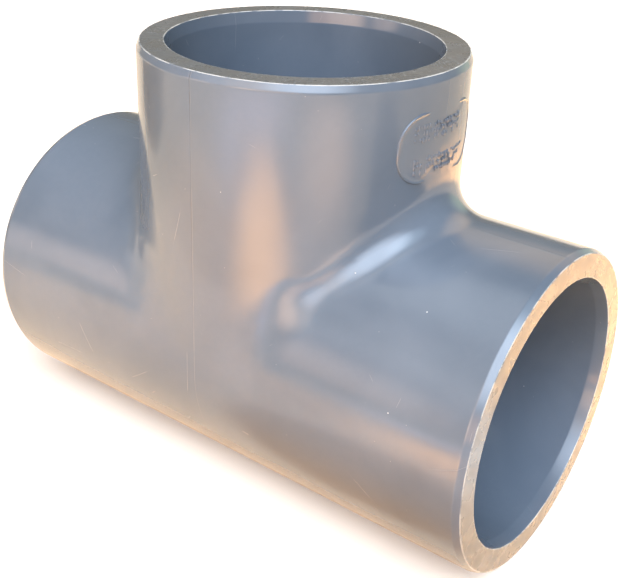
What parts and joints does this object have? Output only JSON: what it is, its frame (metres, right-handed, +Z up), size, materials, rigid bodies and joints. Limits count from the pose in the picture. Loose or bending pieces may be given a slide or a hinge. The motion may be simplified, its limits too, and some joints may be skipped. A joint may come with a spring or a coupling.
{
  "type": "pipe tee",
  "caption": "Equal 90 degree plastic pipe tee with three plain solvent-cement sockets, a crossing waterway and pipe stops.",
  "frame": {"origin": "the lowest point of the run barrel, straight under the crossing of the run's axis and the branch's axis", "axes": "+X along the run towards the right-hand socket, +Y to the back, +Z up along the branch towards its mouth"},
  "size_m": [0.1426, 0.0768, 0.1097],
  "materials": {
    "pvc_body": "glossy moulded grey PVC-U with faint flow and parting marks",
    "pvc_panel": "glossy moulded grey PVC-U, raised panel"
  },
  "bodies": {
    "root": {"centre_body": "pvc_body", "run_socket_left": "pvc_body", "run_socket_right": "pvc_body", "branch_socket": "pvc_body", "marking_panel": "pvc_panel"}
  },
  "joints": []
}
